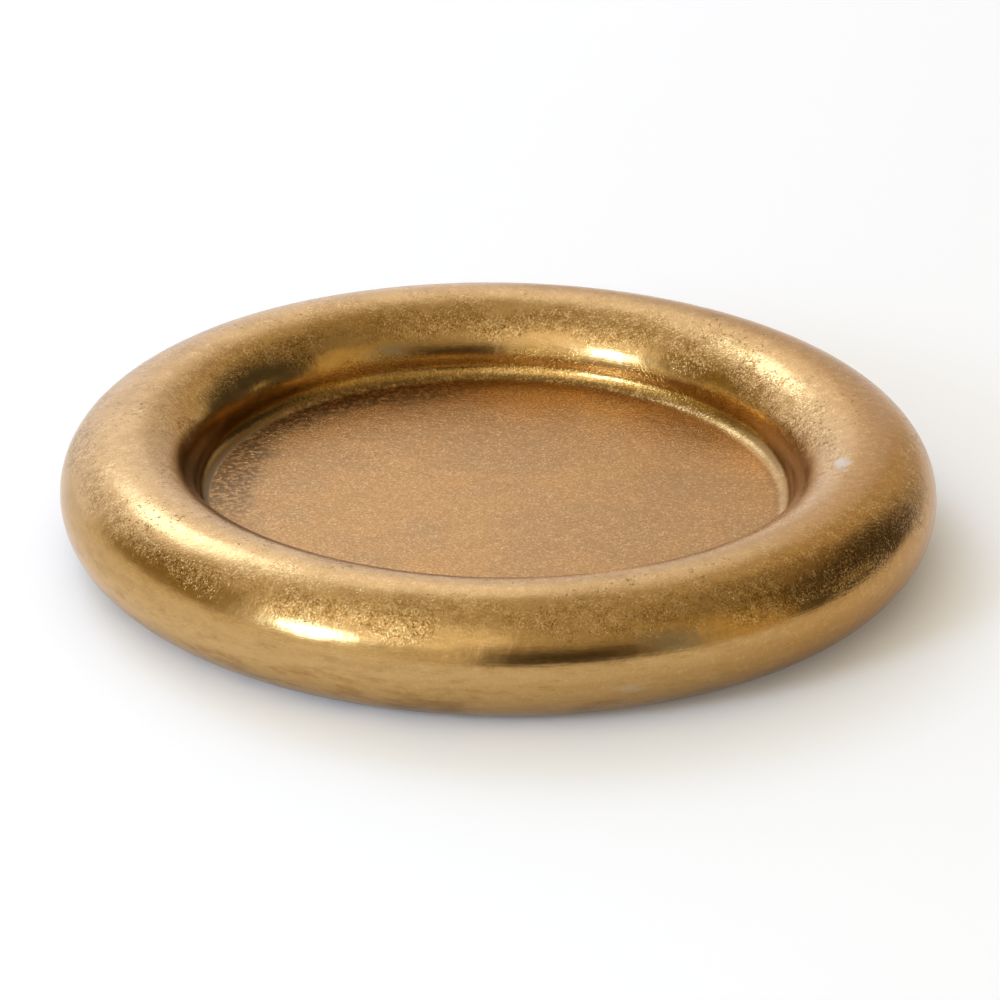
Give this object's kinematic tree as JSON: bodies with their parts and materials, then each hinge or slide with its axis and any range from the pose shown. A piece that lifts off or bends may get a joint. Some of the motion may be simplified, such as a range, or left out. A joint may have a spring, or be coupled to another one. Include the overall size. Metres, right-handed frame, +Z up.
{
  "type": "tray",
  "caption": "Round cast-metal tray with a fat rolled rim around a sunken flat floor; a screwed ring closes the hollow rim from below and carries felt pads.",
  "frame": {"origin": "point on the table under the middle of the tray", "axes": "+Z up, out of the well; +X from the middle towards one of the base screws"},
  "size_m": [0.356, 0.356, 0.051],
  "materials": {
    "cast_metal": "sand-cast grain under an antique brass finish, polished on the rim and matt on the floor",
    "ring_metal": "flat ring in a darker antique brass finish",
    "screw_metal": "plain countersunk steel screw",
    "felt": "pressed dark brown wool felt"
  },
  "bodies": {
    "root": {"tray_casting": "cast_metal", "base_ring": "ring_metal", "base_screw_1": "screw_metal", "base_screw_2": "screw_metal", "base_screw_3": "screw_metal", "base_screw_4": "screw_metal", "base_screw_5": "screw_metal", "base_screw_6": "screw_metal", "foot_pad_1": "felt", "foot_pad_2": "felt", "foot_pad_3": "felt", "foot_pad_4": "felt", "foot_pad_5": "felt", "foot_pad_6": "felt"}
  },
  "joints": []
}
